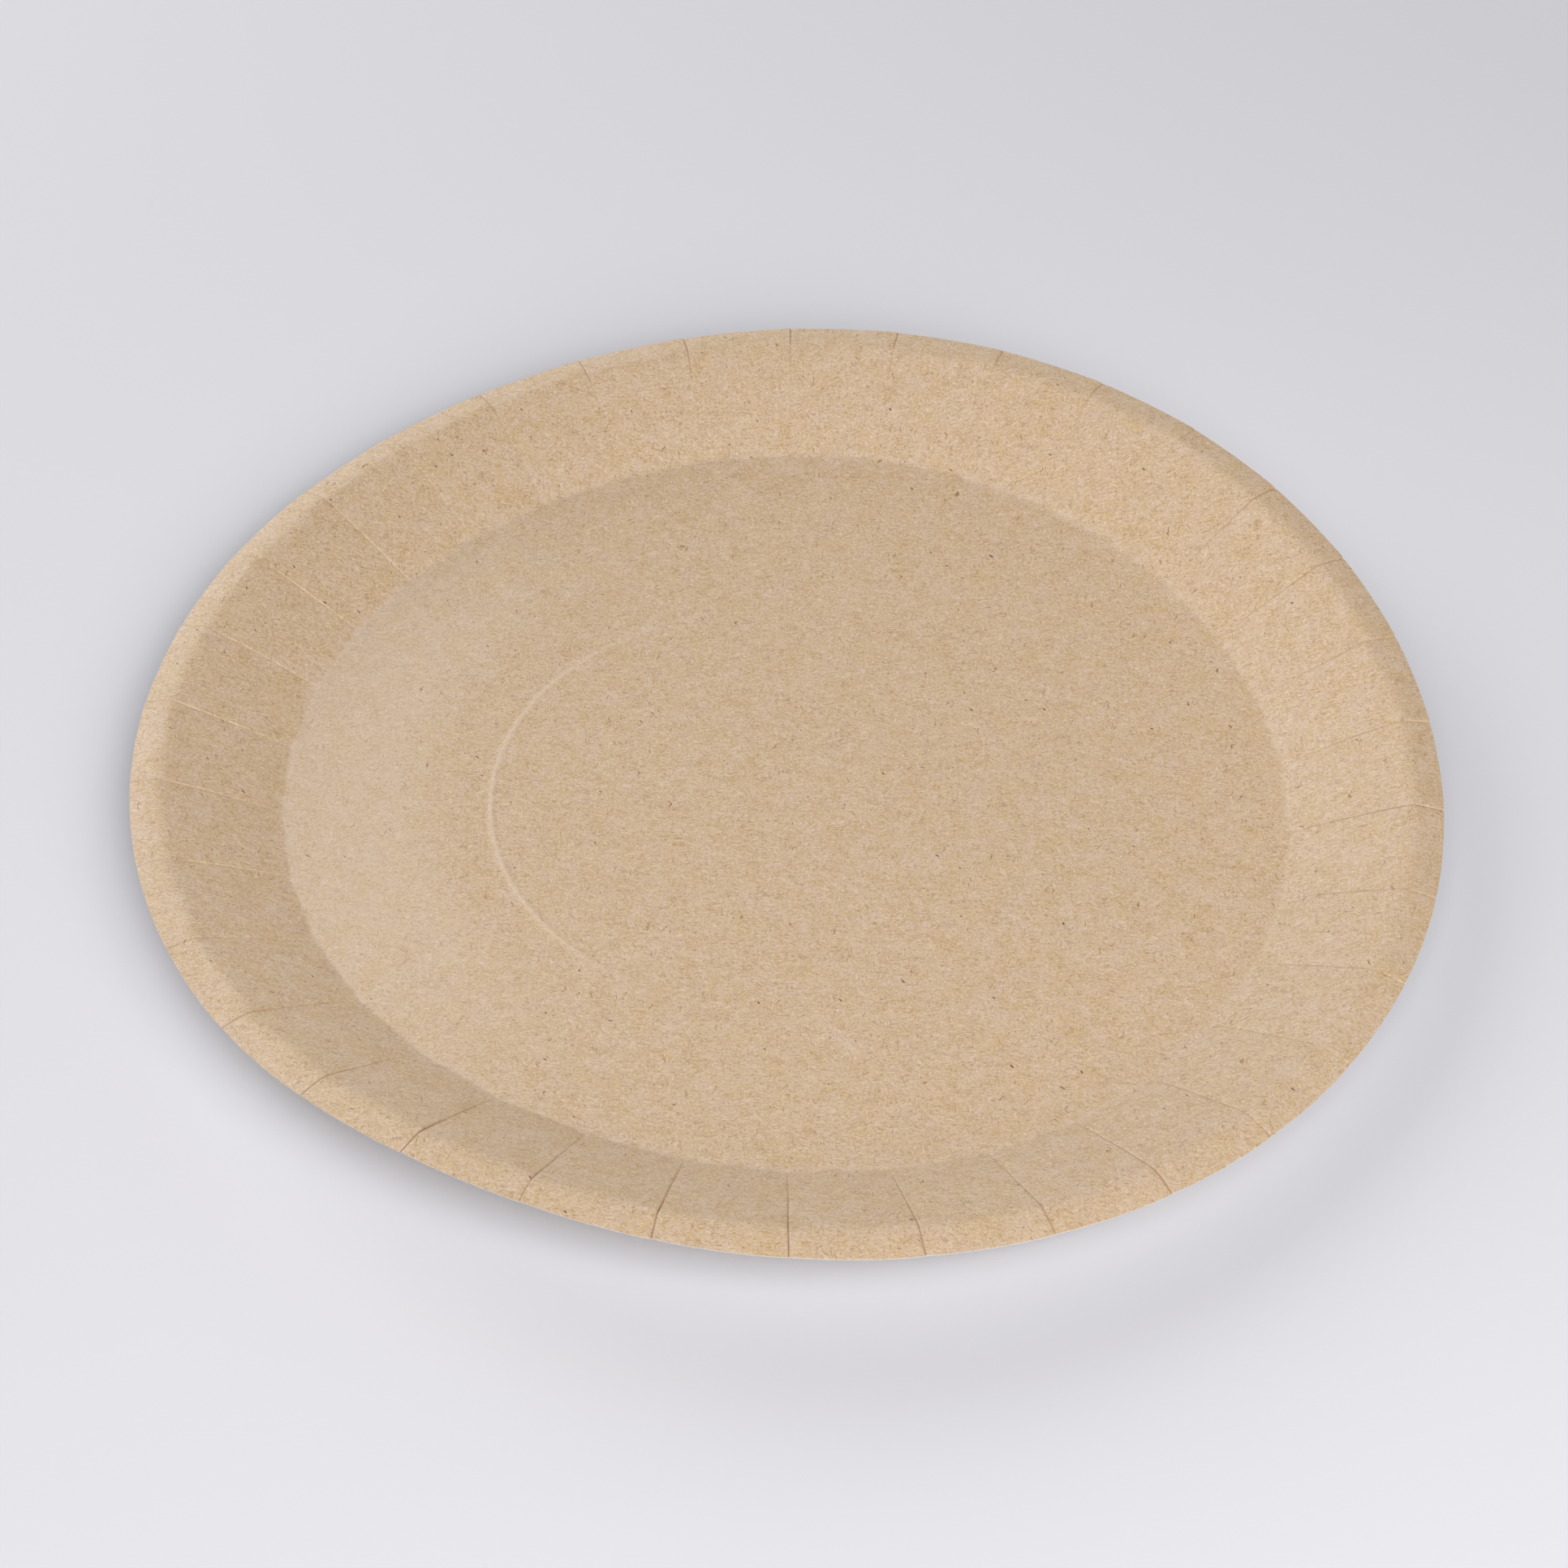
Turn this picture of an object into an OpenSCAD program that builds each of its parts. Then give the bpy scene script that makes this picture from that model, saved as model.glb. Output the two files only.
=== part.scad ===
// Paper plate pressed from one round blank of kraft board. The blank is scored
// round its margin, and the die gathers the spare paper into narrow pleats at
// the scores. The origin is the middle of the underside and +Z is up. The board
// has curled a little with age, and the X axis is the line along which it rests.

/* [Plate] */
// Outside diameter of the cut edge
plate_d = 230; // [190:1:330]
// Width of the rim, from the crest of the wall to the cut edge
rim_w = 5.7; // [4:0.1:12]
// Width of the sloping wall, seen from above
wall_run = 20.3; // [12:0.1:30]
// Height of the crest above the base
wall_h = 9.2; // [5:0.1:22]
// How far the middle of the wall bulges above a straight slope
wall_bow = 0.3; // [0:0.05:0.6]
// How much lower the cut edge is than the crest
rim_drop = 1.2; // [0:0.1:2.5]
// How far the middle of the rim bulges above a straight slope
rim_bow = 0.12; // [0:0.01:0.3]
// Thickness of the board
board_t = 0.4; // [0.3:0.05:0.8]
// Width of the bend where the base turns into the wall
corner_w = 1.2; // [0.6:0.1:4]
// Width of the bend where the wall turns into the rim
crest_w = 2.2; // [1:0.1:5]

/* [Pleats] */
// Number of pleats round the plate
pleat_n = 34; // [20:1:40]
// Width of a pleat's groove where it meets the rim
pleat_w = 0.9; // [0.5:0.1:1.6]
// Depth of a pleat's groove where it meets the rim
pleat_d = 0.3; // [0.1:0.05:0.5]
// How flat the board is between two pleats, from 0 for round to 1 for flat
panel_flat = 1; // [0:0.1:1]

/* [Pressed ring] */
// Diameter of the ring pressed into the base
ring_d = 101; // [90:0.5:112]
// How far the ring's centre lies from the middle of the plate
ring_off = 3.6; // [0:0.1:6]
// Direction in which the ring's centre lies
ring_off_a = 262; // [0:1:359]
// Width of the ring's bead
ring_w = 1.6; // [1:0.1:4]
// Height of the ring's bead where it is strongest
ring_h = 0.2; // [0.1:0.05:0.4]
// Direction in which the bead is strongest
ring_a = 208; // [0:1:359]

/* [Warp] */
// How far the two curled sides have lifted at the cut edge
curl_h = 7.3; // [0:0.1:15]
// Width of the strip that lies flat along the X axis
flat_w = 44; // [20:1:70]
// Height of the wave in the rim, from flat to its top
wave_h = 1.4; // [0:0.1:2]
// Direction of the middle of the wave
wave_a = 255; // [0:1:359]
// Angle from the middle of the wave to its top
wave_w = 16; // [8:1:30]

/* [Hidden] */
kraft = [0.80, 0.69, 0.57];
plate_r = plate_d / 2;
crest_r = plate_r - rim_w;
base_r = crest_r - wall_run;
ring_r = ring_d / 2;
// The middle of the base, inside the strip that lies flat, is one flat face
hub_r = 0.45 * flat_w;
pitch = 360 / pleat_n;
columns = 4 * pleat_n;
base_steps = 3;
wall_steps = 5;
// Share of its full width that a pleat still has at the foot of the wall
pleat_tip = 0.4;
// A pleat deepens quickly at first and then slowly: below 1 is quicker
pleat_growth = 0.6;

// The section is given by its slope: each stop is a radius and the slope there,
// and the slope changes evenly from one stop to the next
foot_slope = (wall_h + 4 * wall_bow) / wall_run;
head_slope = (wall_h - 4 * wall_bow) / wall_run;
rim_in_slope = (4 * rim_bow - rim_drop) / rim_w;
rim_out_slope = (-4 * rim_bow - rim_drop) / rim_w;
stops = [
    [base_r - corner_w / 2, 0],
    [base_r + corner_w / 2, foot_slope],
    [crest_r - crest_w / 2, head_slope],
    [crest_r + crest_w / 2, rim_in_slope],
    [plate_r, rim_out_slope]
];

function total(v, i = 0) = i < len(v) ? v[i] + total(v, i + 1) : 0;
function ease(t) = let (c = min(max(t, 0), 1)) c * c * (3 - 2 * c);
function mix(a, b, t) = a + (b - a) * t;
// Angle b measured from a, between -180 and 180
function turn(a, b) = let (d = (b - a) % 360) d > 180 ? d - 360 : d < -180 ? d + 360 : d;

// Height gained between two stops of the section, as far out as radius p
function gain(a, b, p) =
    let (run = min(p, b[0]) - a[0])
    run <= 0 ? 0 : run * (a[1] + (b[1] - a[1]) * run / (b[0] - a[0]) / 2);
function section_z(p) = total([for (i = [0:len(stops) - 2]) gain(stops[i], stops[i + 1], p)]);

// How far the middle of the bead is from the middle of the plate at angle a
function ring_at(a) =
    let (along = ring_off * cos(a - ring_off_a))
    along + sqrt(ring_r * ring_r - ring_off * ring_off + along * along);

// The ring's bead fades out on the side away from ring_a
function ring_z(r, a) =
    let (across = max(1 - abs(r - ring_at(a)) / (ring_w / 2), 0))
    ring_h * across * ease(1.5 - abs(turn(ring_a, a)) / 52);

// Both sides curl up past the strip that lies flat
function curl_z(r, a) =
    let (past = max(abs(r * sin(a)) - flat_w / 2, 0) / (plate_r - flat_w / 2))
    curl_h * past * past;

// A low place and a high place side by side, fading out towards the base
function wave_z(r, a) =
    let (u = turn(wave_a, a) / wave_w, fade = max((r - ring_r) / (plate_r - ring_r), 0))
    wave_h * fade * fade * u * exp(0.5 - u * u / 2);

// How far out the wall a radius is, from 0 at the base to 1 at the crest
function up_wall(p) = min(max((p - base_r) / wall_run, 0), 1);

// Four columns of points to a pitch: the pleat, its two shoulders and the middle
// of the panel. The columns are even at the hub and close in on the pleat
// towards the wall.
function shoulder(p) =
    let (w = pleat_w / 2 * mix(pleat_tip, 1, up_wall(p)))
    mix(pitch / 4, w / p * 180 / PI, ease((p - hub_r) / (base_r - corner_w - hub_r)));
function column_a(k, p) =
    let (n = floor(k / 4), part = k % 4)
    pitch * n + [0, shoulder(p), pitch / 2, pitch - shoulder(p)][part];

// A flat panel is nearer the middle than a round one: this is the share of its
// radius that the section sees at angle a
function panel_share(a) =
    let (off = abs(turn(pitch / 2, a % pitch)))
    1 - panel_flat * (1 - cos(off));

// The rows of points, from the hub out. Each has its radius, how much it follows
// the flat panels and how much it follows the pressed ring, both from 0 to 1.
rows = concat(
    [[hub_r, 0, 0], [mix(hub_r, ring_r - ring_w / 2, 0.5), 0, 0.5]],
    [for (side = [-1:1]) [ring_r + side * ring_w / 2, 0, 1]],
    [for (i = [1:base_steps])
        [mix(ring_r + ring_w / 2, base_r - corner_w, i / base_steps), i / base_steps, 1 - i / base_steps]],
    [for (side = [-1:1]) [base_r + side * corner_w / 2, 1, 0]],
    [for (i = [1:wall_steps - 1])
        [mix(base_r + corner_w / 2, crest_r - crest_w / 2, i / wall_steps), 1, 0]],
    [for (side = [-1:1]) [crest_r + side * crest_w / 2, 1, 0]],
    [[mix(crest_r + crest_w / 2, plate_r, 0.5), 0.5, 0], [plate_r, 0, 0]]
);

// One point of the sheet, on its top face or on its underside
function sheet_point(row, k, under) =
    let (
        a = column_a(k, row[0]),
        share = panel_share(a),
        r = row[0] / pow(share, row[1]) + row[2] * (ring_at(a) - ring_r),
        p = r * share,
        slope = lookup(p, stops),
        lean = sqrt(1 + slope * slope),
        groove = k % 4 == 0 ? pleat_d * pow(up_wall(p), pleat_growth) : 0,
        lift = ring_z(r, a) + curl_z(r, a) + wave_z(r, a) - groove,
        out = under ? r + board_t * slope / lean : r,
        z = section_z(p) + lift + (under ? board_t - board_t / lean : board_t)
    )
    [out * cos(a), out * sin(a), z];

module plate() {
    last = len(rows) - 1;
    under_0 = len(rows) * columns;
    top = [for (row = rows, k = [0:columns - 1]) sheet_point(row, k, false)];
    under = [for (row = rows, k = [0:columns - 1]) sheet_point(row, k, true)];
    hub_top = [for (k = [columns - 1:-1:0]) k];
    hub_under = [for (k = [0:columns - 1]) under_0 + k];
    // Each cell between two rows and two columns is two triangles
    top_cells = [for (j = [0:last - 1], k = [0:columns - 1])
        let (a = j * columns, b = a + columns, m = (k + 1) % columns)
        each [[a + k, a + m, b + m], [a + k, b + m, b + k]]];
    under_cells = [for (j = [0:last - 1], k = [0:columns - 1])
        let (a = under_0 + j * columns, b = a + columns, m = (k + 1) % columns)
        each [[a + k, b + m, a + m], [a + k, b + k, b + m]]];
    edge_cells = [for (k = [0:columns - 1])
        let (a = last * columns, b = under_0 + a, m = (k + 1) % columns)
        each [[a + k, a + m, b + m], [a + k, b + m, b + k]]];
    color(kraft)
        polyhedron(
            points = concat(top, under),
            faces = concat([hub_top, hub_under], top_cells, under_cells, edge_cells),
            convexity = 6
        );
}

plate();
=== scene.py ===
# %% [markdown]
# # A paper plate pressed from kraft board
#
# The real plate is one round blank of brown board. A press scores its margin, then forces it into a flat
# base, a sloping wall and a narrow rim, and the spare paper folds into a fine pleat at each score. It has
# lain about since, so it has curled along one line. This lesson builds that one sheet, gives it the look
# of uncoated kraft board, and puts it on a pale table top under soft light.
#
# It starts with the fixed frame. The frame says where the plate is and how big it is, and nothing in this
# lesson moves it.

import math

import bpy
import bmesh
from mathutils import Matrix, Vector


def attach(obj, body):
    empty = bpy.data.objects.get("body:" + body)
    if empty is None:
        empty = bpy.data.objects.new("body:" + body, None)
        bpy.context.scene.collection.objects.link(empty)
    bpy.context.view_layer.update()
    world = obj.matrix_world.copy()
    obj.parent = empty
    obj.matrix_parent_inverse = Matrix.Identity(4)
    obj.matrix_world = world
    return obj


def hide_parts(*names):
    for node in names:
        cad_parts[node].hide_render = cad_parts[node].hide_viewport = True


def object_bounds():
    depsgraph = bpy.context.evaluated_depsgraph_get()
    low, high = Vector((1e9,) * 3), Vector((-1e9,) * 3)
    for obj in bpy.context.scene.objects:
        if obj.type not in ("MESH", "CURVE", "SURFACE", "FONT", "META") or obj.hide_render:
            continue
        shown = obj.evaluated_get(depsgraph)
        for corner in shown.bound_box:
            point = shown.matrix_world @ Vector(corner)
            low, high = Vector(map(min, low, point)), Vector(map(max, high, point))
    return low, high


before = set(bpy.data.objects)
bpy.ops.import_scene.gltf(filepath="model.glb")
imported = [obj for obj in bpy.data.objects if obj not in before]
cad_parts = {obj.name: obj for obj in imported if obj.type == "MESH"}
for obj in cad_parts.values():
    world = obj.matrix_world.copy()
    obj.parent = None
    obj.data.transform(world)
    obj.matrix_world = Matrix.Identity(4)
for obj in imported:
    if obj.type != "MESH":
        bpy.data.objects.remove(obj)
cad_low, cad_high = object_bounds()
print("its box in mm:", [round((high - low) * 1000, 2) for low, high in zip(cad_low, cad_high)])

# %% [markdown]
# ## Sizes
#
# A pressed shape is described by its section and by what changes round the plate: the pleats and the warp.
# These are the same few sizes that the solid model is driven by, in millimetres. Only the overall
# diameter is read from the frame, so a plate of the wrong size can't be made by mistake.

# %% The plate's sizes, in millimetres and degrees
MM = 0.001
plate_r = (cad_high.x - cad_low.x) / 2 / MM
sizes = {
    "Plate radius": plate_r,
    "Rim width": 5.7,
    "Wall run": 20.3,
    "Wall height": 9.2,
    "Wall bow": 0.3,
    "Rim drop": 1.2,
    "Rim bow": 0.12,
    "Board thickness": 0.4,
    "Corner width": 1.2,
    "Crest width": 2.2,
    "Arc radius": 50.5,
    "Arc width": 1.6,
    "Arc height": 0.2,
    "Arc centre X": -0.5,
    "Arc centre Y": -3.6,
    "Curl height": 7.3,
    "Flat strip width": 44,
    "Wave height": 1.4,
    "Pleat depth": 0.2,
    "Pleat width": 0.3,
    "Shoulder depth": 0.015,
    "Shoulder width": 1.3,
    "Pleat wander": 0.3,
    "Step height": 0.19,
    "Edge notch": 0.18,
    "Unevenness": 0.1,
}
angles = {
    "Arc direction": 208,
    "Wave direction": 255,
    "Wave angle": 16,
    "Tight direction": 290,
    "Tight angle": 42,
    "Shade direction": 335,
}
counts = {"Pleats": 34, "Columns per pleat": 16, "Seed": 7}
print("plate is", round(2 * plate_r, 2), "mm across, with", counts["Pleats"], "pleats")

# %% [markdown]
# ## Writing formulas with nodes
#
# Geometry Nodes and materials both do their sums with Math nodes. Twenty of them for one formula are hard
# to read, so a small class stands for the output of a node and lets Python's own `+` and `*` add the
# nodes. A formula then reads as it would on paper, and the tree is still an ordinary one.

# %% Fields and nodes
class Field:
    """A number that may differ from point to point: the output of a node."""

    def __init__(self, socket):
        self.socket = socket

    def __add__(self, other):
        return calc("ADD", self, other)

    def __radd__(self, other):
        return calc("ADD", other, self)

    def __sub__(self, other):
        return calc("SUBTRACT", self, other)

    def __rsub__(self, other):
        return calc("SUBTRACT", other, self)

    def __mul__(self, other):
        return calc("MULTIPLY", self, other)

    def __rmul__(self, other):
        return calc("MULTIPLY", other, self)

    def __truediv__(self, other):
        return calc("DIVIDE", self, other)

    def __rtruediv__(self, other):
        return calc("DIVIDE", other, self)

    def __neg__(self):
        return calc("MULTIPLY", self, -1)


def feed(socket, value):
    """Links a field or another socket to an input, or sets a plain value on it."""
    source = value.socket if isinstance(value, Field) else value
    if isinstance(source, bpy.types.NodeSocket):
        socket.id_data.links.new(source, socket)
    else:
        socket.default_value = source


def add(tree, kind, inputs=None, **settings):
    """A new node with its settings, and its inputs fed by name or by number."""
    node = tree.nodes.new(kind)
    for name, value in settings.items():
        setattr(node, name, value)
    for name, value in (inputs or {}).items():
        feed(node.inputs[name], value)
    return node


def calc(operation, *values):
    """One Math node, fed with fields and plain numbers."""
    tree = next(value.socket.id_data for value in values if isinstance(value, Field))
    node = add(tree, "ShaderNodeMath", dict(enumerate(values)), operation=operation)
    return Field(node.outputs[0])


# %% Shapes of curve that several formulas use
def clamp(x, low=0, high=1):
    return calc("MINIMUM", calc("MAXIMUM", x, low), high)


def ease(x):
    """From 0 to 1, starting and ending gently."""
    t = clamp(x)
    return t * t * (3 - 2 * t)


def mix(a, b, t):
    return a + (b - a) * t


def bell(x):
    """1 at 0, falling off smoothly on both sides, as a crease or a soft spot does."""
    return calc("EXPONENT", -(x * x))


def turn(a, b):
    """Angle b measured from a, between minus and plus half a turn."""
    return calc("WRAP", b - a, math.pi, -math.pi)


# %% [markdown]
# ## The tree that presses the sheet
#
# A lathe or a Screw modifier could spin the section, but it knows nothing of pleats, and sculpting can't
# be changed later. Here a flat grid is the raw material: its columns become directions round the plate,
# and its rows run from the middle out over the top face, round the cut edge and back along the underside.
# Every vertex is then sent to its place by the formulas of the pressed shape. The tree's inputs are the
# sizes above, so the plate can be pressed again at another size by changing numbers.

# %% The tree and its inputs
press = bpy.data.node_groups.new("press_sheet", "GeometryNodeTree")
press.interface.new_socket("Geometry", in_out="INPUT", socket_type="NodeSocketGeometry")
press.interface.new_socket("Geometry", in_out="OUTPUT", socket_type="NodeSocketGeometry")
for name in [*sizes, *angles]:
    press.interface.new_socket(name, in_out="INPUT", socket_type="NodeSocketFloat")
for name in counts:
    press.interface.new_socket(name, in_out="INPUT", socket_type="NodeSocketInt")
press.interface.new_socket("Board", in_out="INPUT", socket_type="NodeSocketMaterial")
entry = press.nodes.new("NodeGroupInput")
exit_node = press.nodes.new("NodeGroupOutput")


def given(name):
    """One of the tree's named inputs."""
    return Field(entry.outputs[name])


crest_r = given("Plate radius") - given("Rim width")
base_r = crest_r - given("Wall run")
corner_out = base_r + given("Corner width") / 2
corner_in = base_r - given("Corner width") / 2
crest_in = crest_r - given("Crest width") / 2
crest_out = crest_r + given("Crest width") / 2
half_pitch = math.pi / given("Pleats")
print("the tree has", len(press.interface.items_tree), "inputs and outputs")

# %% [markdown]
# ### Rows and columns
#
# A sheet needs vertices only where it bends. The rows stand close together on the pressed arc, in the
# tight corner at the base and over the crest, and far apart where the board is straight. The columns are
# even in the middle of the plate. Towards the wall they crowd up to each pleat, because a pleat is a
# third of a millimetre wide and the panel beside it is flat for twenty. A sinh curve does the crowding.

# %% Which row and which column a vertex belongs to
# The arc's centre lies off the plate's middle, so the close rows reach past it on both sides
arc_reach = 4.6 * MM
before_corner = 1.2 * MM
row_stretches = [
    (5, given("Arc radius") - arc_reach),
    (24, given("Arc radius") + arc_reach),
    (6, corner_in - before_corner),
    (1, corner_in),
    (7, corner_out),
    (17, crest_in),
    (10, crest_out),
    (9, given("Plate radius")),
]
last_row = sum(count for count, _ in row_stretches)
rows = 2 * last_row + 2
columns = given("Pleats") * given("Columns per pleat")

index = Field(press.nodes.new("GeometryNodeInputIndex").outputs[0])
column = calc("FLOOR", (index + 0.5) / rows)
row = index - column * rows
face_row = calc("MINIMUM", row, 2 * last_row + 1 - row)
cut_row = last_row + 0.5
under = calc("GREATER_THAN", row, cut_row)
print(rows, "rows, of which", last_row + 1, "on each face")

# %% How far out a row is
radius = None
first = 0
reached = 0
for count, out_to in row_stretches:
    part = (out_to - reached) * clamp((face_row - first) / count)
    radius = part if radius is None else radius + part
    first, reached = first + count, out_to

# %% Which pleat a column is nearest to, and how far from it round the plate
crowding = 5.0
even_to = 20 * MM
half_columns = given("Columns per pleat") / 2
pleat_number = calc("FLOOR", (column + half_columns) / given("Columns per pleat"))
across = (column - pleat_number * given("Columns per pleat")) / half_columns
crowded = calc("SINH", across * crowding) / math.sinh(crowding)
out_to_wall = ease((radius - even_to) / (corner_in - even_to))
crowded_across = mix(across, crowded, out_to_wall)
from_pleat = half_pitch * crowded_across
pleat_id = calc("FLOORED_MODULO", pleat_number, given("Pleats"))

# %% [markdown]
# ### The section
#
# The section is written by its slope, which changes evenly between a few stops: none on the base, steep
# at the foot of the wall, less at its head, and gently down over the rim. Adding up the slope gives the
# height, and no corner is ever sharper than the press could make it. Between two pleats the board is
# flat, as in a barrel's staves, so the section is read at the distance from the middle that the flat
# panel has.

# %% The section's stops: a radius, and the slope there
wall_bulge = 4 * given("Wall bow")
rim_bulge = 4 * given("Rim bow")
stops = [
    (corner_in, 0),
    (corner_out, (given("Wall height") + wall_bulge) / given("Wall run")),
    (crest_in, (given("Wall height") - wall_bulge) / given("Wall run")),
    (crest_out, (rim_bulge - given("Rim drop")) / given("Rim width")),
    (given("Plate radius"), -(rim_bulge + given("Rim drop")) / given("Rim width")),
]

# %% Radius, height and slope at every vertex
from_panel_middle = half_pitch - calc("ABSOLUTE", from_pleat)
panel_share = calc("COSINE", from_panel_middle)
panel_from = given("Arc radius") + arc_reach
panel_begins = clamp((radius - panel_from) / (corner_in - panel_from))
panel_ends = clamp((given("Plate radius") - radius) / (given("Plate radius") - crest_out))
follows_panel = panel_begins * panel_ends
r = radius / calc("POWER", panel_share, follows_panel)
section_r = r * panel_share

height = 0
slope = 0
for (near, near_slope), (far, far_slope) in zip(stops, stops[1:]):
    run = clamp(section_r - near, 0, far - near)
    bend = (far_slope - near_slope) / (far - near)
    height = run * (near_slope + bend * run / 2) + height
    slope = run * bend + slope
up_wall = clamp((section_r - base_r) / given("Wall run"))

# %% [markdown]
# ### Pleats
#
# Where the blank was scored, the spare paper tucks in. From above that is a fine groove with soft
# shoulders, deepest on the rim and gone at the foot of the wall, that wanders a little from side to side.
# The panels on its two sides don't lie level: on the wall one stands a little above the other, and on the
# rim it is the other way about. So a pleat that catches the light on the wall is in shade on the rim. No
# two pleats are alike, each takes its own random strength from the seed, and they are tightest on the
# near side.

# %% A random number for each pleat or panel, and a smooth one along a line
def random_for(number, salt, low=0, high=1):
    """A random number between low and high that belongs to a whole number."""
    node = press.nodes.new("FunctionNodeRandomValue")
    node.data_type = "FLOAT"
    values = {"Min": low, "Max": high, "ID": number, "Seed": given("Seed") + salt}
    for socket in node.inputs:
        if socket.enabled and socket.name in values:
            feed(socket, values[socket.name])
    return Field(next(socket for socket in node.outputs if socket.enabled))


def noise_at(x, y, z, detail=0):
    """Smooth noise from about -1 to 1. A step of 1 along an axis is one bump."""
    point = add(press, "ShaderNodeCombineXYZ", {"X": x, "Y": y, "Z": z}).outputs[0]
    inputs = {"Vector": point, "Scale": 1, "Detail": detail, "Roughness": 0.5}
    node = add(press, "ShaderNodeTexNoise", inputs, noise_dimensions="3D")
    return (Field(node.outputs[0]) - 0.5) * 2


# %% The pleat's path, groove, shoulders and step
around = pleat_number * 2 * half_pitch
tight = bell(turn(given("Tight direction"), around) / given("Tight angle"))
own_strength = random_for(pleat_id, 1, 0.4, 0.95) * mix(0.82, 1.2, tight)
strength = own_strength * calc("POWER", up_wall, 0.4)
wander_bump = 7 * MM
wander_noise = noise_at(r / wander_bump, pleat_id * 3.7, given("Seed"), 1)
wander = wander_noise * given("Pleat wander") * up_wall
stays_put = 1 - across * across
angle = around + from_pleat + wander / calc("MAXIMUM", r, MM) * stays_put * stays_put

from_line = r * from_pleat
groove = given("Pleat depth") * bell(from_line / (given("Pleat width") / 2))
shoulders = given("Shoulder depth") * bell(from_line / (given("Shoulder width") / 2))
side = calc("SIGN", across)
panel_id = calc("FLOORED_MODULO", pleat_number + calc("MINIMUM", side, 0), given("Pleats"))
turns_over = mix(1, -1, ease((section_r - crest_in) / (crest_out - crest_in)))
step_growth = calc("POWER", up_wall, 0.45)
tilt = random_for(panel_id, 2, 0.5, 1) * given("Step height") / 2 * step_growth * turns_over
step = tilt * (crowded_across - side)
pleat_z = step - (groove + shoulders) * strength

# %% [markdown]
# ### The pressed arc, the curl and the wave
#
# The die leaves a low bead in the base, which shows only on one side. Damp air has curled the board: it
# lies flat along one strip and rises on both sides of it, and near one end of that rise the rim has a
# small wave. These are lifts that depend only on where a vertex is.

# %% Lifts
x = r * calc("COSINE", angle)
y = r * calc("SINE", angle)
arc_x = x - given("Arc centre X")
arc_y = y - given("Arc centre Y")
from_arc_centre = calc("SQRT", arc_x * arc_x + arc_y * arc_y)
arc_off = (from_arc_centre - given("Arc radius")) / (given("Arc width") / 2)
from_arc_direction = calc("ABSOLUTE", turn(given("Arc direction"), angle))
arc_fade = ease(1.5 - from_arc_direction / math.radians(52))
arc_profile = clamp(1 - arc_off * arc_off)
arc_shape = arc_profile * arc_profile * arc_fade
arc_z = given("Arc height") * arc_shape

flat_half = given("Flat strip width") / 2
past_flat = calc("MAXIMUM", calc("ABSOLUTE", y) - flat_half, 0) / (given("Plate radius") - flat_half)
curl_z = given("Curl height") * past_flat * past_flat

wave_turn = turn(given("Wave direction"), angle) / given("Wave angle")
wave_from = given("Arc radius")
wave_fade = clamp((r - wave_from) / (given("Plate radius") - wave_from))
wave_shape = wave_turn * calc("EXPONENT", 0.5 - wave_turn * wave_turn / 2)
wave_z = given("Wave height") * wave_fade * wave_fade * wave_shape

# Board is never dead flat. The unevenness only lifts, so the plate still rests on its base.
uneven_bump = 28 * MM
uneven_noise = noise_at(x / uneven_bump, y / uneven_bump, 0.5, 1)
uneven_z = given("Unevenness") * (1 + uneven_noise) * clamp(past_flat * 6)

# %% [markdown]
# ### Both faces and the cut edge
#
# The underside is the top face moved in by the board's thickness, square to the slope of the section. At
# each pleat the cut edge has a small notch, where the blank's edge was drawn in.

# %% Where every vertex goes
lift = arc_z + curl_z + wave_z + uneven_z + pleat_z
lean = calc("SQRT", 1 + slope * slope)
on_rim = clamp((r - crest_out) / (given("Plate radius") - crest_out))
notch_half = 0.3 * MM
notch = given("Edge notch") * bell(from_line / notch_half) * strength * on_rim
ragged_bump = 0.7 * MM
ragged_depth = 0.02 * MM
ragged = noise_at(x / ragged_bump, y / ragged_bump, under * 5, 1) * ragged_depth * on_rim
r_out = r - notch + ragged + under * given("Board thickness") * slope / lean
z_top = height + lift + given("Board thickness")
z = z_top - under * given("Board thickness") / lean
place = add(press, "ShaderNodeCombineXYZ", {
    "X": r_out * calc("COSINE", angle),
    "Y": r_out * calc("SINE", angle),
    "Z": z,
}).outputs[0]

# %% [markdown]
# ### From the grid to a closed sheet
#
# Moving the grid leaves a seam where its first and last columns meet, and two heaps of vertices at the
# poles. Merging by distance closes them all. Named attributes go with the mesh, because some places are
# coloured apart from the felt: painted shade in the crease of a pleat, a painted highlight along the
# pressed arc and along the corner at the foot of the wall, painted light on the base beside the arc, and a
# paler cut edge, partly its own colour and partly painted light. The edges of the cut are marked sharp, so
# the rest of the sheet can be smooth.
#
# A crease is drawn darker, since light hardly reaches its bottom. On the wall that shows only on the side
# where the pleats face away from the lamps, and on the rim it shows all round.

# %% Where the sheet is coloured apart: painted shade and light, and the cut edge
line = bell(from_line / (given("Pleat width") * 0.45))
shade_side = 0.5 + 0.5 * calc("COSINE", turn(given("Shade direction"), angle))
at_rim = ease((up_wall - 0.75) / 0.25)
rim_crease = mix(0.75, 1.3, tight)
far_crease = 1.4 * calc("POWER", up_wall, 0.6)
near_crease = 0.65 * own_strength * up_wall
wall_crease = shade_side * mix(far_crease, near_crease, tight)
crease = clamp(own_strength * line * mix(wall_crease, rim_crease, at_rim))

# Painted highlight: a pale line along the corner at the foot of the wall, this wide.
corner_highlight_width = 0.6 * MM
corner = bell((section_r - base_r) / corner_highlight_width)

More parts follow.
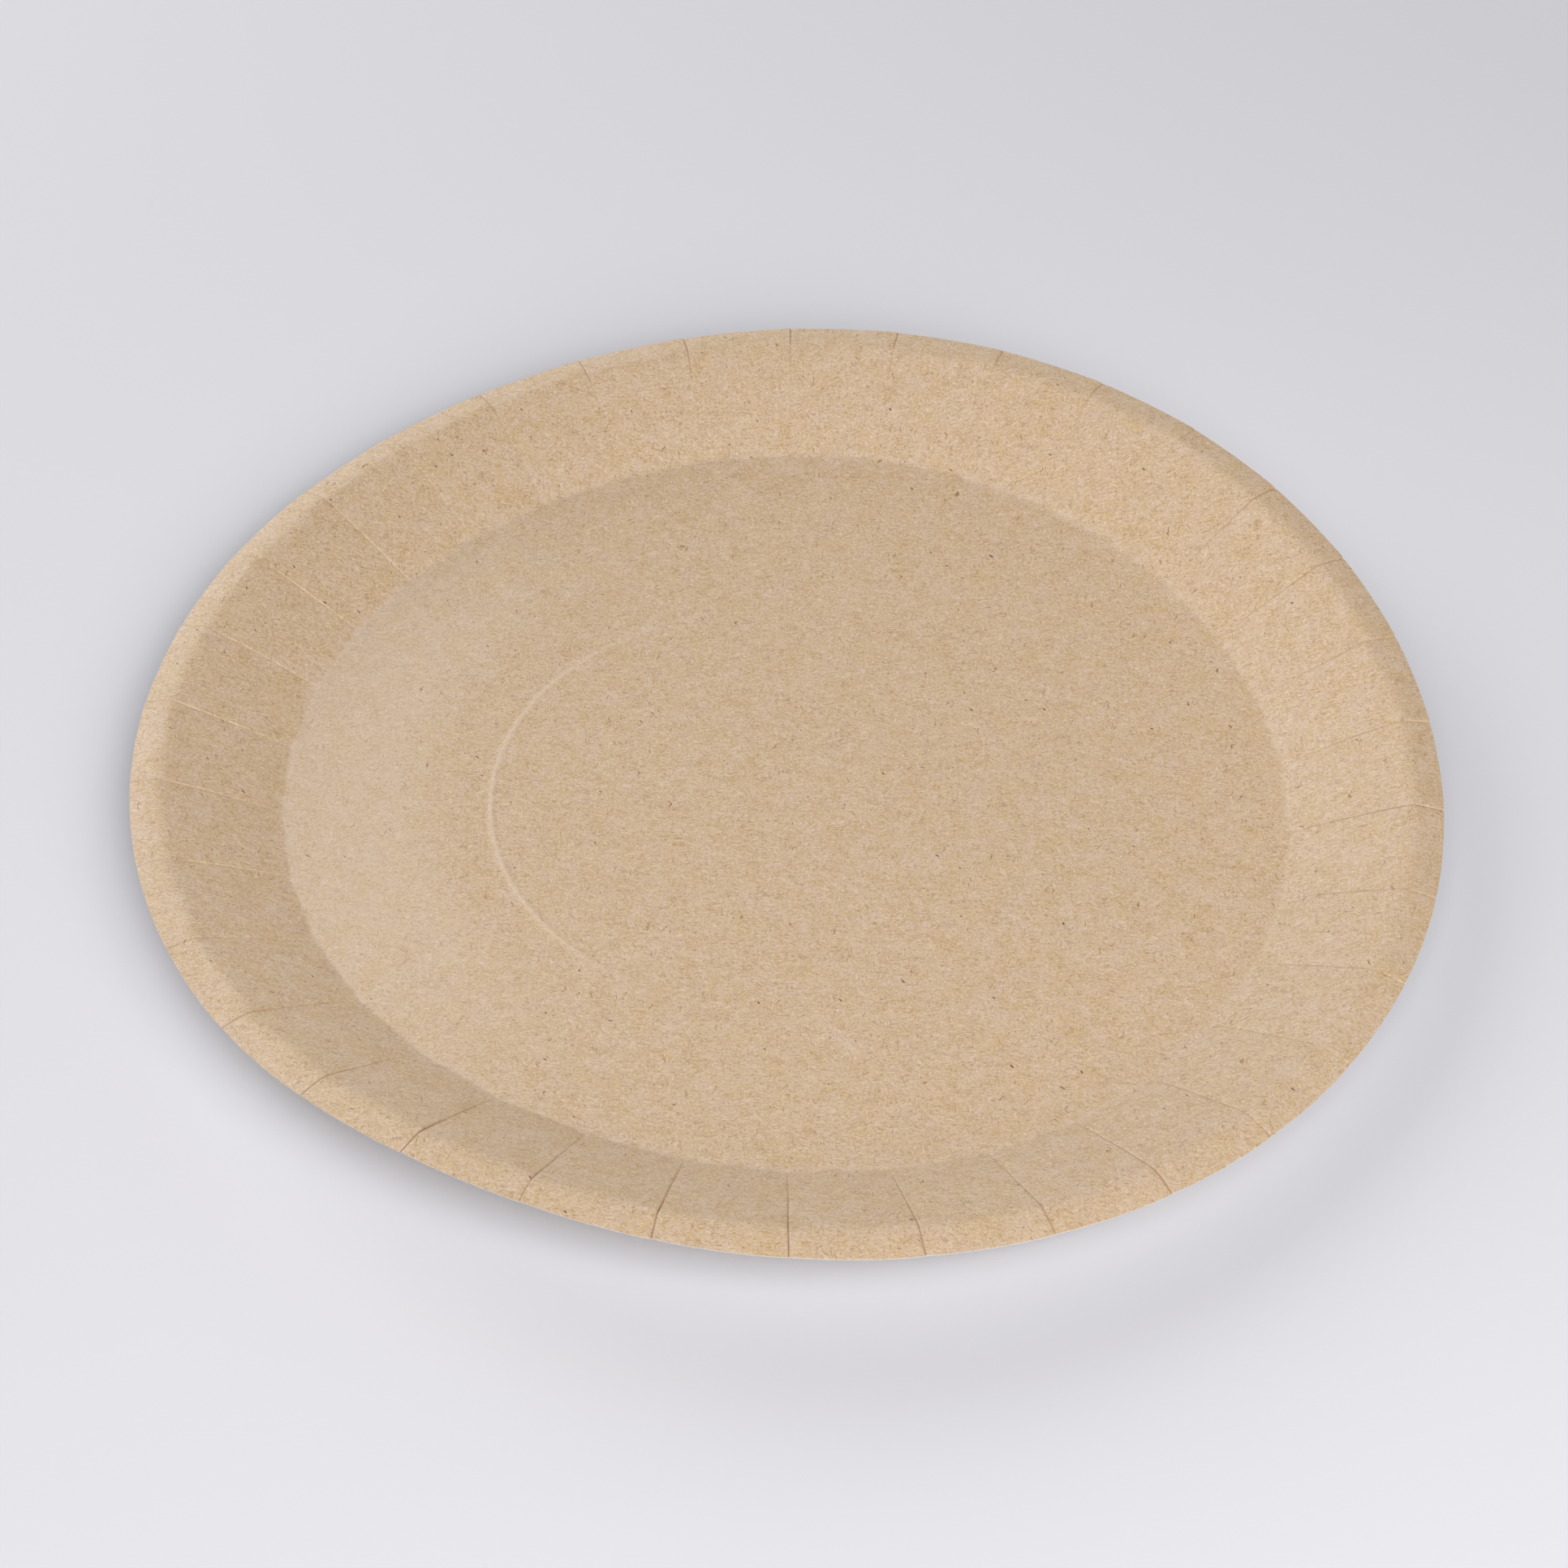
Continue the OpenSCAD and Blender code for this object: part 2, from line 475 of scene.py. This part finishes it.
# Painted light: the base is drawn paler beside the pressed arc, on the side where it is lit most.
light_patch_from = 60 * MM
light_patch_fade = 9 * MM
light_patch_beside = ease(1.5 - from_arc_direction / math.radians(45))
painted_base_light = ease((r - light_patch_from) / light_patch_fade) * light_patch_beside * calc("LESS_THAN", section_r, base_r)

at_cut = calc("COMPARE", row, cut_row, 0.6)


# %% Grid, attributes, places, seam, shading
def store(geometry, name, value, domain):
    node = add(press, "GeometryNodeStoreNamedAttribute", data_type="FLOAT", domain=domain)
    feed(node.inputs["Geometry"], geometry)
    feed(node.inputs["Name"], name)
    feed(node.inputs["Value"], value)
    return node.outputs["Geometry"]


grid = add(press, "GeometryNodeMeshGrid", {"Vertices X": columns + 1, "Vertices Y": rows}).outputs[0]
sheet = store(grid, "crease", crease, "POINT")
sheet = store(sheet, "pressed_arc", arc_shape, "POINT")
sheet = store(sheet, "corner", corner, "POINT")
sheet = store(sheet, "painted_base_light", painted_base_light, "POINT")
sheet = store(sheet, "at_cut", at_cut, "POINT")
sheet = add(press, "GeometryNodeSetPosition", {"Geometry": sheet, "Position": place}).outputs[0]
sheet = add(press, "GeometryNodeFlipFaces", {"Mesh": sheet}).outputs[0]
merge_within = 0.002 * MM
sheet = add(press, "GeometryNodeMergeByDistance", {"Geometry": sheet, "Distance": merge_within}).outputs[0]
smooth_all = {"Geometry": sheet, "Shade Smooth": True}
sheet = add(press, "GeometryNodeSetShadeSmooth", smooth_all, domain="FACE").outputs[0]
cut_edges = add(press, "GeometryNodeInputNamedAttribute", {"Name": "at_cut"}, data_type="FLOAT").outputs[0]
is_cut = calc("GREATER_THAN", Field(cut_edges), 0.99)
sharp_cut = {"Geometry": sheet, "Selection": is_cut, "Shade Smooth": False}
sheet = add(press, "GeometryNodeSetShadeSmooth", sharp_cut, domain="EDGE").outputs[0]
sheet = add(press, "GeometryNodeRealizeInstances", {"Geometry": sheet}).outputs[0]
sheet = add(press, "GeometryNodeSetMaterial", {"Geometry": sheet, "Material": given("Board")}).outputs[0]
feed(exit_node.inputs[0], sheet)
print("the tree has", len(press.nodes), "nodes")

# %% [markdown]
# ## Kraft board
#
# Uncoated kraft board is a felt of short brown and pale fibres. From a step away it is an even tan. Close
# to, it is full of short strokes lighter and darker than the ground, soft blotches that lean to pink or
# to yellow, scattered dark specks of bark, and here and there a long pale hair. A picture of board could
# be used, but it would repeat and wouldn't scale. Here each stroke is a cell of a Voronoi texture whose
# space has been squeezed one way, and noise bends the strokes and adds the soft clouds between them. The
# pattern is laid out in the object's own millimetres.

# %% The board's colours
def linear(red, green, blue):
    """A colour on the screen's scale of 0 to 255 as the light that it stands for."""
    parts = [level / 255 for level in (red, green, blue)]
    return tuple(p / 12.92 if p <= 0.04045 else ((p + 0.055) / 1.055) ** 2.4 for p in parts) + (1,)


ground_yellow = linear(209, 179, 138)
ground_pink = linear(212, 184, 155)
# Pale fibres of the felt. The same colour is used below for painted highlights and painted light.
pale_fibre_and_highlight = linear(230, 210, 191)
dark_fibre = linear(164, 129, 86)
speck_brown = linear(78, 42, 16)
fibre_brown = linear(136, 82, 20)
crease_shade_brown = linear(148, 103, 56)
cut_pale = linear(222, 212, 203)

board = bpy.data.materials.new("kraft_board")
board.use_nodes = True
felt = board.node_tree
shader = felt.nodes["Principled BSDF"]
place_mm = add(felt, "ShaderNodeVectorMath", operation="SCALE")
feed(place_mm.inputs[0], add(felt, "ShaderNodeTexCoord").outputs["Object"])
feed(place_mm.inputs["Scale"], 1 / MM)


# %% Helpers for patterns in millimetres
def noise_mm(bump, detail=2, at=None, shift=0):
    """Noise whose bumps are about that many millimetres across."""
    at = at or place_mm.outputs[0]
    if shift:
        offset = {0: at, 1: (shift, shift * 0.7, 0)}
        at = add(felt, "ShaderNodeVectorMath", offset, operation="ADD").outputs[0]
    inputs = {"Vector": at, "Scale": 1 / bump, "Detail": detail, "Roughness": 0.5}
    return Field(add(felt, "ShaderNodeTexNoise", inputs, noise_dimensions="2D").outputs[0])


def ramp(x, low, high):
    """0 below low and 1 above high, with an even rise between."""
    return clamp((x - low) / (high - low))


def laid(at, degrees, length, width, shift):
    """Places turned in the sheet's plane and squeezed, so that a round spot becomes a stroke."""
    turned = add(felt, "ShaderNodeMapping", vector_type="POINT")
    feed(turned.inputs["Vector"], at)
    turned.inputs["Rotation"].default_value = (0, 0, math.radians(degrees))
    turned.inputs["Location"].default_value = (shift, shift * 0.6, 0)
    squeezed = add(felt, "ShaderNodeVectorMath", operation="MULTIPLY")
    feed(squeezed.inputs[0], turned.outputs[0])
    squeezed.inputs[1].default_value = (1 / length, 1 / width, 1 / width)
    return squeezed.outputs[0]


def blend_colour(a, b, factor, tree=felt):
    """Colour a where the factor is 0, and colour b where it is 1."""
    node = add(tree, "ShaderNodeMix", data_type="RGBA", clamp_factor=True)
    sockets = {socket.identifier: socket for socket in node.inputs}
    feed(sockets["Factor_Float"], factor)
    feed(sockets["A_Color"], a)
    feed(sockets["B_Color"], b)
    return next(socket for socket in node.outputs if socket.identifier == "Result_Color")


def stored(name):
    """One of the attributes that the tree stored on the sheet."""
    return Field(add(felt, "ShaderNodeAttribute", attribute_name=name).outputs["Fac"])


# %% Bent places, so that fibres curve
def pushed_about(bump, reach):
    """Places in millimetres, pushed about by smooth noise whose bumps are that many millimetres across."""
    inputs = {"Vector": place_mm.outputs[0], "Scale": 1 / bump, "Detail": 1}
    noise = add(felt, "ShaderNodeTexNoise", inputs, noise_dimensions="2D")
    inputs = {0: noise.outputs["Color"], 1: (0.5, 0.5, 0.5)}
    centred = add(felt, "ShaderNodeVectorMath", inputs, operation="SUBTRACT")
    inputs = {0: centred.outputs[0], 1: (reach, reach, 0)}
    scaled = add(felt, "ShaderNodeVectorMath", inputs, operation="MULTIPLY")
    inputs = {0: place_mm.outputs[0], 1: scaled.outputs[0]}
    return add(felt, "ShaderNodeVectorMath", inputs, operation="ADD")


bent = pushed_about(4.5, 2.2)
curled = pushed_about(1.3, 1.5)


# %% Strokes: one to a cell, each with its own random numbers
def strokes(degrees, length, width, shift, spread=1.0, places=bent):
    """How far a point is from the middle of its stroke, and two random numbers of that stroke.

    The distance is 1 at the end of a stroke of the given length and width, in millimetres. The spread is
    how many such lengths and widths lie between one stroke and the next.
    """
    at = laid(places.outputs[0], degrees, length, width, shift)
    inputs = {"Vector": at, "Scale": 1 / spread, "Randomness": 1.0}
    cells = add(felt, "ShaderNodeTexVoronoi", inputs, voronoi_dimensions="2D")
    chances = add(felt, "ShaderNodeSeparateColor", {0: cells.outputs["Color"]})
    return Field(cells.outputs["Distance"]) * spread, Field(chances.outputs[0]), Field(chances.outputs[1])


# %% The felt: short strokes laid over each other, a little more of them along one direction
# Each layer has a direction in degrees, and the length and width of its strokes. A stroke is pale or dark
# by its random number, and most are faint.
felt_layers = [(155, 1.05, 0.16), (128, 0.85, 0.15), (2, 0.85, 0.15), (60, 0.75, 0.16)]
layer_shift = 31
stroke_reach = 0.62
felt_sum = None
for number, (degrees, length, width) in enumerate(felt_layers):
    distance, chance, _ = strokes(degrees, length, width, layer_shift * number)
    signed = 2 * chance - 1
    layer = ramp(stroke_reach - distance, 0, 0.3) * signed * calc("ABSOLUTE", signed)
    felt_sum = layer if felt_sum is None else felt_sum + layer

# %% Specks of bark and dark fibres, in only a small share of the cells
speck_share = 0.06
distance, chance, size = strokes(20, 0.66, 0.24, 5, spread=6.5)
speck_reach = 0.22 + 0.45 * size * size
specks = ramp(speck_reach - distance, 0, 0.14) * calc("LESS_THAN", chance, speck_share)

fibre_share = 0.17
distance, chance, size = strokes(75, 1.1, 0.13, 17, spread=5.5, places=curled)
fibre_reach = 0.35 + 0.5 * size
fibre_strength = 0.25 + 0.55 * chance / fibre_share
fibres = ramp(fibre_reach - distance, 0, 0.2) * calc("LESS_THAN", chance, fibre_share) * fibre_strength

# %% Long pale hairs: stretches of the edges between large cells
hair_spacing = 5.5
hair_cells = add(
    felt,
    "ShaderNodeTexVoronoi",
    {"Vector": bent.outputs[0], "Scale": 1 / hair_spacing},
    feature="DISTANCE_TO_EDGE",
    voronoi_dimensions="2D",
)
hair_line = ramp(0.016 - Field(hair_cells.outputs["Distance"]), 0, 0.012)
hairs = hair_line * ramp(noise_mm(3.1, 1, shift=40), 0.56, 0.62)

# %% The ground's hue, and how pale or dark it is
blotch = ramp(noise_mm(5.5, 3, shift=11) * 0.5 + noise_mm(1.4, 2, shift=19) * 0.5, 0.38, 0.62)
fine_blotch = noise_mm(0.9, 2, at=bent.outputs[0], shift=23)
cloud = noise_mm(3.6, 2, shift=47)
tone = felt_sum * 0.44 + (fine_blotch - 0.5) * 0.24 + (cloud - 0.5) * 0.32

# %% Colour: the felt first, then what is stored on the sheet
colour = blend_colour(ground_yellow, ground_pink, blotch)
colour = blend_colour(colour, dark_fibre, clamp(-tone))
colour = blend_colour(colour, pale_fibre_and_highlight, clamp(tone))
colour = blend_colour(colour, pale_fibre_and_highlight, hairs * 0.5)
colour = blend_colour(colour, fibre_brown, fibres)
colour = blend_colour(colour, speck_brown, specks * 0.9)
# Painted highlight: the board is drawn paler along the pressed arc's bead.
colour = blend_colour(colour, pale_fibre_and_highlight, stored("pressed_arc") * 0.4)
# Painted light: a paler patch on the base beside the pressed arc.
colour = blend_colour(colour, pale_fibre_and_highlight, stored("painted_base_light") * 0.22)
# Painted highlight: a pale line in patches along the corner at the foot of the wall.
corner_highlight_patches = ramp(noise_mm(2.5, 2, shift=61), 0.4, 0.65)
colour = blend_colour(colour, pale_fibre_and_highlight, stored("corner") * corner_highlight_patches * 0.35)
# Painted shade: the pleat creases are drawn darker brown, most on the side that faces away from the lamps.
colour = blend_colour(colour, crease_shade_brown, stored("crease") * 0.8)
# The cut edge is paler: partly the cut board's own colour, partly painted light.
colour = blend_colour(colour, cut_pale, ramp(stored("at_cut"), 0.9, 1.0) * 0.7)
feed(shader.inputs["Base Color"], colour)

# %% Surface: matt, with the felt standing up a little
relief = noise_mm(0.4, 1, shift=7)
relief_height = 0.012 * MM
bump = add(felt, "ShaderNodeBump", {"Height": relief, "Strength": 0.5, "Distance": relief_height})
feed(shader.inputs["Normal"], bump.outputs[0])
feed(shader.inputs["Roughness"], 0.55 + 0.1 * fine_blotch)
shader.inputs["Specular IOR Level"].default_value = 0.8
print("the board's material has", len(felt.nodes), "nodes")

# %% [markdown]
# ## Pressing the plate
#
# The tree goes on a carrier object as a modifier. Its inputs are set by their identifiers before the
# object is first worked out. The result is copied to a plain mesh, and the carrier goes.

# %% Run the tree
carrier = bpy.data.objects.new("carrier", bpy.data.meshes.new("carrier"))
bpy.context.scene.collection.objects.link(carrier)
modifier = carrier.modifiers.new("press", "NODES")
modifier.node_group = press
identifiers = {item.name: item.identifier for item in press.interface.items_tree if item.in_out == "INPUT"}
for name, size in sizes.items():
    modifier[identifiers[name]] = size * MM
for name, degrees in angles.items():
    modifier[identifiers[name]] = math.radians(degrees)
for name, count in counts.items():
    modifier[identifiers[name]] = count
modifier[identifiers["Board"]] = board

bpy.context.view_layer.update()
pressed = carrier.evaluated_get(bpy.context.evaluated_depsgraph_get())
plate = bpy.data.objects.new("pressed_plate", bpy.data.meshes.new_from_object(pressed))
plate.data.name = "pressed_plate"
bpy.context.scene.collection.objects.link(plate)
bpy.data.objects.remove(carrier)

# %% Measure the result
check = bmesh.new()
check.from_mesh(plate.data)
open_edges = sum(1 for edge in check.edges if len(edge.link_faces) != 2)
CM = 0.01
volume_cm3 = check.calc_volume(signed=True) / CM ** 3
triangles = sum(len(face.verts) - 2 for face in check.faces)
check.free()
print(f"{triangles} triangles, {open_edges} open edges, {volume_cm3:.2f} cm3 of board")

# %% Join it to the frame
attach(plate, "root")
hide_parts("plate")

# %% [markdown]
# ## Table top
#
# The plate stands on a pale, slightly lilac surface. The lamps stand close, so that far from the plate a
# real table top would be lit unevenly, and seen from low down it would end in a black horizon. So what the
# camera sees of the floor passes, outside the plate's surroundings, into one even pale colour, and the
# world behind it has that colour too. Only the camera's own rays are changed: shadows and light are real.
#
# The brown board throws a reddish light on the table under its rim, but the photograph's shadow is grey
# there. So the table's own colour is a little cooler near the plate, which cancels the red.

# %% The floor, in metres
floor_half = 30.0
ground_from = 0.28
ground_to = 0.48
ground_pale = linear(216, 214, 220)
table_lilac = linear(229, 228, 233)
cool_lilac = linear(222, 227, 238)
cool_ends = 0.129
cool_fade = 0.023
floor_mesh = bpy.data.meshes.new("floor")
corners = [
    (-floor_half, -floor_half, 0),
    (floor_half, -floor_half, 0),
    (floor_half, floor_half, 0),
    (-floor_half, floor_half, 0),
]
floor_mesh.from_pydata(corners, [], [(0, 1, 2, 3)])
floor = bpy.data.objects.new("floor", floor_mesh)
bpy.context.scene.collection.objects.link(floor)
paint = bpy.data.materials.new("table_top")
paint.use_nodes = True
painted = paint.node_tree.nodes["Principled BSDF"]
painted.inputs["Roughness"].default_value = 0.8
painted.inputs["Specular IOR Level"].default_value = 0.1
floor_place = add(paint.node_tree, "ShaderNodeTexCoord").outputs["Object"]
floor_length = add(paint.node_tree, "ShaderNodeVectorMath", {0: floor_place}, operation="LENGTH")
away = Field(floor_length.outputs["Value"])
near_plate = ramp(cool_ends - away, 0, cool_fade)
top_colour = blend_colour(table_lilac, cool_lilac, near_plate, paint.node_tree)
feed(painted.inputs["Base Color"], top_colour)
by_camera = Field(add(paint.node_tree, "ShaderNodeLightPath").outputs["Is Camera Ray"])
even = add(paint.node_tree, "ShaderNodeEmission", {"Color": ground_pale, "Strength": 1})
passes = ease((away - ground_from) / (ground_to - ground_from)) * by_camera
surface = add(paint.node_tree, "ShaderNodeMixShader", {0: passes, 1: painted.outputs[0], 2: even.outputs[0]})
feed(paint.node_tree.nodes["Material Output"].inputs["Surface"], surface.outputs[0])
floor.data.materials.append(paint)

# %% [markdown]
# ## Camera
#
# A long lens looks down at 45 degrees, from the direction that was worked out from the plate's outline
# and its pleats. The camera was held with a slight roll, and the plate isn't quite in the middle.

# %% The camera: angles in degrees, distance in metres, and the rest in pixels of the picture
photo_azimuth = 25.2
photo_elevation = 45.05
photo_roll = 1.95
photo_distance = 0.65006
image_side = 1932
focal_pixels = 4499.4
shift_right = -4.87
shift_up = 7.49
sensor_mm = 36.0
lens = bpy.data.cameras.new("camera")
lens.sensor_width = sensor_mm
lens.lens = focal_pixels * sensor_mm / image_side
lens.shift_x = shift_right / image_side
lens.shift_y = shift_up / image_side
lens.clip_start = 0.01
camera = bpy.data.objects.new("camera", lens)
bpy.context.scene.collection.objects.link(camera)
azimuth = math.radians(photo_azimuth)
elevation = math.radians(photo_elevation)
level_part = math.cos(elevation)
back = Vector((math.sin(azimuth) * level_part, -math.cos(azimuth) * level_part, math.sin(elevation)))
aim = Vector((0, 0, sizes["Board thickness"] * MM))
camera.location = aim + back * photo_distance
level = (-back).to_track_quat("-Z", "Y").to_matrix()
roll = Matrix.Rotation(math.radians(photo_roll), 3, "Z")
camera.rotation_mode = "QUATERNION"
camera.rotation_quaternion = (level @ roll).to_quaternion()
bpy.context.scene.camera = camera
print("lens of", round(lens.lens, 1), "mm at", round(camera.location.length, 3), "m")

# %% [markdown]
# ## Light
#
# The plate was lit by big soft lamps, and the wall tells where they stood, since each side of it faces the
# lamps across the plate. On the right the wall is paler than the base and on the left it is darker, so
# much of the light comes low from the left and the far left. Two lamps higher up, on the near right and in
# front, light the base, the near rim and the table top, and a weak one low on the far side lights the near
# wall. All have the same size and distance, and differ only in direction and power. The camera doesn't see
# them, so the plate can be looked at from any side.

# %% World and lamps, in metres and watts
lamp_side = 0.9
lamp_distance = 1.2


def lamp(name, picture_direction, rise, power):
    """A square soft lamp aimed at the plate. Its direction is read in the picture: 0 right and 90 far."""
    light = bpy.data.lights.new(name, "AREA")
    light.shape = "SQUARE"
    light.size = lamp_side
    light.energy = power
    lamp_object = bpy.data.objects.new(name, light)
    bpy.context.scene.collection.objects.link(lamp_object)
    direction = math.radians(picture_direction + photo_azimuth)
    height = math.sin(math.radians(rise))
    reach = math.cos(math.radians(rise))
    towards = Vector((math.cos(direction) * reach, math.sin(direction) * reach, height))
    lamp_object.location = towards * lamp_distance
    lamp_object.rotation_mode = "QUATERNION"
    lamp_object.rotation_quaternion = (-towards).to_track_quat("-Z", "Y")
    lamp_object.visible_camera = False


world = bpy.data.worlds.new("studio")
bpy.context.scene.world = world
world.use_nodes = True
backdrop = world.node_tree.nodes["Background"]
backdrop.inputs["Color"].default_value = ground_pale
seen = add(world.node_tree, "ShaderNodeLightPath").outputs["Is Camera Ray"]
feed(backdrop.inputs["Strength"], seen)
lamp("lamp_far_left", 135, 20, 7.9)
lamp("lamp_left", 150, 8, 6.3)
lamp("lamp_far", 90, 8, 3.4)
lamp("lamp_near_right", 300, 35, 12.0)
lamp("lamp_front", 270, 50, 6.0)
bpy.context.scene.view_settings.view_transform = "Standard"
